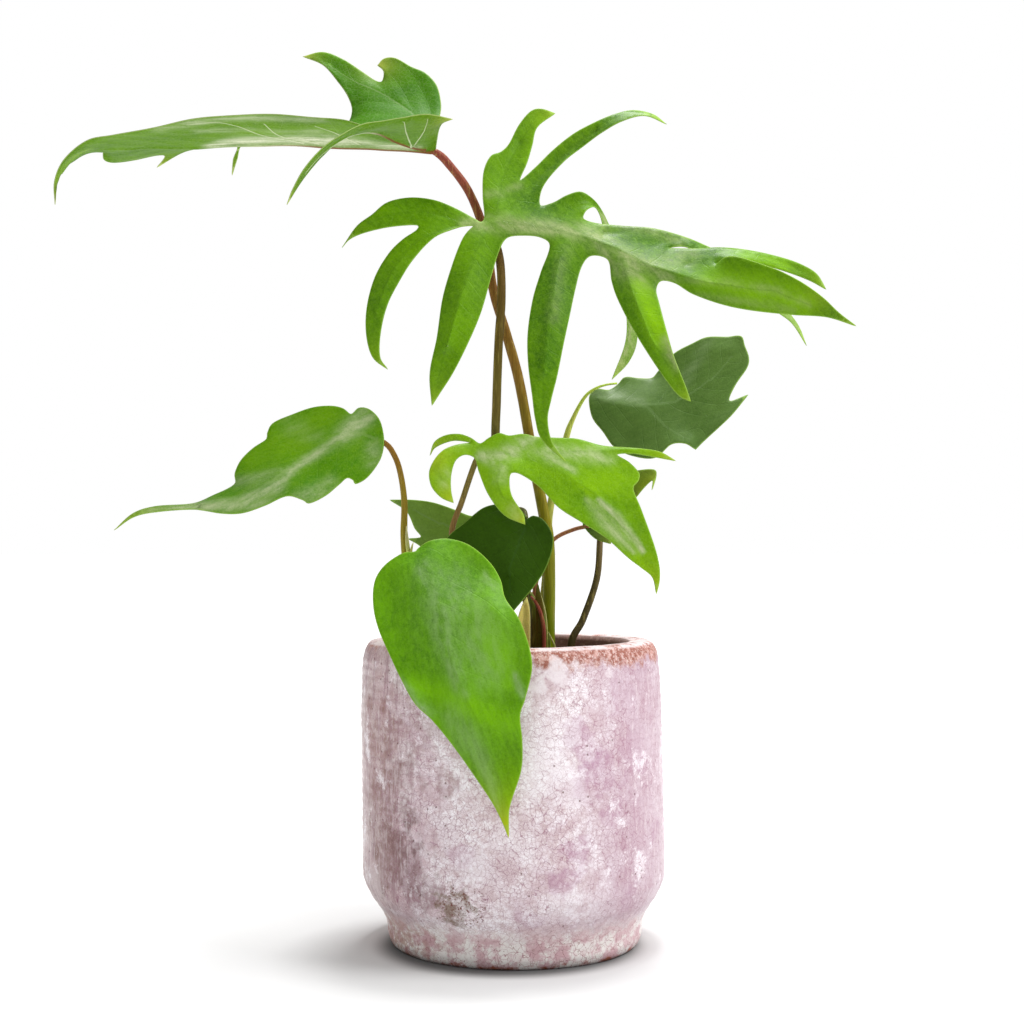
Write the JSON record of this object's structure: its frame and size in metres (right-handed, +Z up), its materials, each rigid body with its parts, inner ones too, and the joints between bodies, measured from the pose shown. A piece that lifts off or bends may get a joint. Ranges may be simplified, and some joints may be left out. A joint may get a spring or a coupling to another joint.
{
  "type": "potted oakleaf philodendron",
  "caption": "Young house plant with deeply lobed and heart-shaped leaves on long stalks, in a round crackle-glazed earthenware pot.",
  "frame": {"origin": "on the flat underside of the pot, under the middle of its body, on the surface that it stands on", "axes": "+Z up along the pot's axis, +X to the right and +Y away from the viewer as the plant is usually seen"},
  "size_m": [0.3888, 0.1664, 0.4591],
  "materials": {
    "glazed_earthenware": "mottled pink and white crackle glaze",
    "potting_soil": "matte, loose bark and peat",
    "leaf_green": "waxy leaf, satin",
    "leaf_bright": "waxy young leaf, satin",
    "leaf_dark": "waxy shaded leaf, satin",
    "stalk_brown": "smooth stalk, slightly waxy",
    "stalk_green": "smooth stalk, slightly waxy",
    "dry_sheath": "thin dry skin, matte"
  },
  "bodies": {
    "root": {"pot": "glazed_earthenware", "soil": "potting_soil", "blade_top_left": "leaf_green", "blade_top_right": "leaf_green", "blade_left": "leaf_green", "blade_front": "leaf_green", "blade_middle": "leaf_bright", "blade_shade": "leaf_dark", "blade_back_left": "leaf_dark", "blade_right": "leaf_dark", "blade_small": "leaf_dark", "blade_low": "leaf_dark", "petiole_top_left": "stalk_brown", "petiole_top_right": "stalk_brown", "petiole_left": "stalk_green", "petiole_front": "stalk_green", "petiole_middle": "stalk_brown", "petiole_shade": "stalk_brown", "petiole_back_left": "stalk_green", "petiole_right": "stalk_green", "petiole_small": "stalk_brown", "petiole_low": "stalk_brown", "stub": "stalk_green", "sheath": "dry_sheath", "flap": "stalk_green"}
  },
  "joints": []
}
